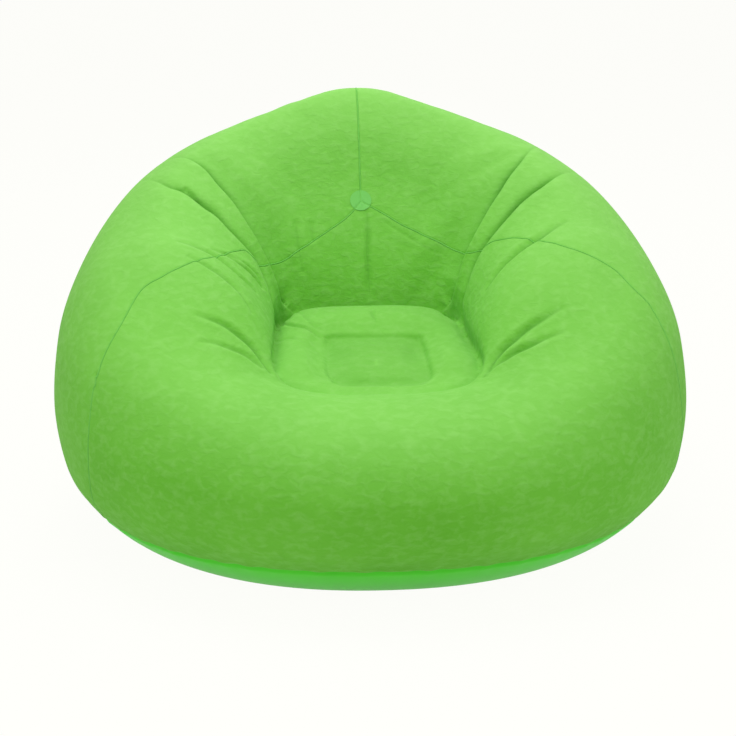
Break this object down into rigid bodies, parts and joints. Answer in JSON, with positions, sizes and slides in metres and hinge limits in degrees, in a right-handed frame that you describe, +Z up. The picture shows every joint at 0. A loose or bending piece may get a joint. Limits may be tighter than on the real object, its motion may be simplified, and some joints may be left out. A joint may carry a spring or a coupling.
{
  "type": "inflatable armchair",
  "caption": "Round inflatable armchair with a flocked skin, a sunken seat between fat arms, a low peaked back, a smooth base and an air valve behind.",
  "frame": {"origin": "middle of the bounding box on the floor, under the base", "axes": "+Z up, -Y towards the front of the seat, +X to the right as seen from the front"},
  "size_m": [1.0582, 1.044, 0.687],
  "materials": {
    "flocked_film": "soft velour flocking on PVC film",
    "smooth_film": "smooth soft PVC film",
    "seam_tape_film": "smooth PVC tape, welded inside",
    "web_film": "smooth PVC film, inside",
    "valve_plastic": "moulded soft PVC",
    "cap_plastic": "moulded soft PVC",
    "seal_rubber": "smooth rubber"
  },
  "bodies": {
    "chair": {"front_panel": "flocked_film", "rear_left_panel": "flocked_film", "rear_right_panel": "flocked_film", "base_panel": "smooth_film", "pole_patch": "smooth_film", "centre_seam_tape": "seam_tape_film", "left_seam_tape": "seam_tape_film", "right_seam_tape": "seam_tape_film", "valve_doubler": "seam_tape_film", "seat_web_front": "web_film", "seat_web_rear": "web_film", "seat_web_left": "web_film", "seat_web_right": "web_film", "valve_flange": "valve_plastic"},
    "insert": {"valve_insert": "valve_plastic", "valve_gasket": "seal_rubber", "flap_retainer": "valve_plastic", "cap_strap": "cap_plastic"},
    "cap": {"valve_cap": "cap_plastic"},
    "flap": {"check_flap": "seal_rubber"}
  },
  "joints": [
    {"name": "insert_pull", "type": "slide", "parent": "chair", "child": "insert", "axis": [-0.3491, 0.9369, 0.018], "range_m": [0, 0.03]},
    {"name": "cap_pull", "type": "slide", "parent": "insert", "child": "cap", "axis": [-0.3491, 0.9369, 0.018], "range_m": [0, 0.02]},
    {"name": "flap_swing", "type": "hinge", "parent": "insert", "child": "flap", "pos_m": [-0.19801, 0.47746, 0.27624], "axis": [-0.937, -0.3492, 0], "range_deg": [0, 60], "stiffness_Nm_per_rad": 0.0005}
  ]
}
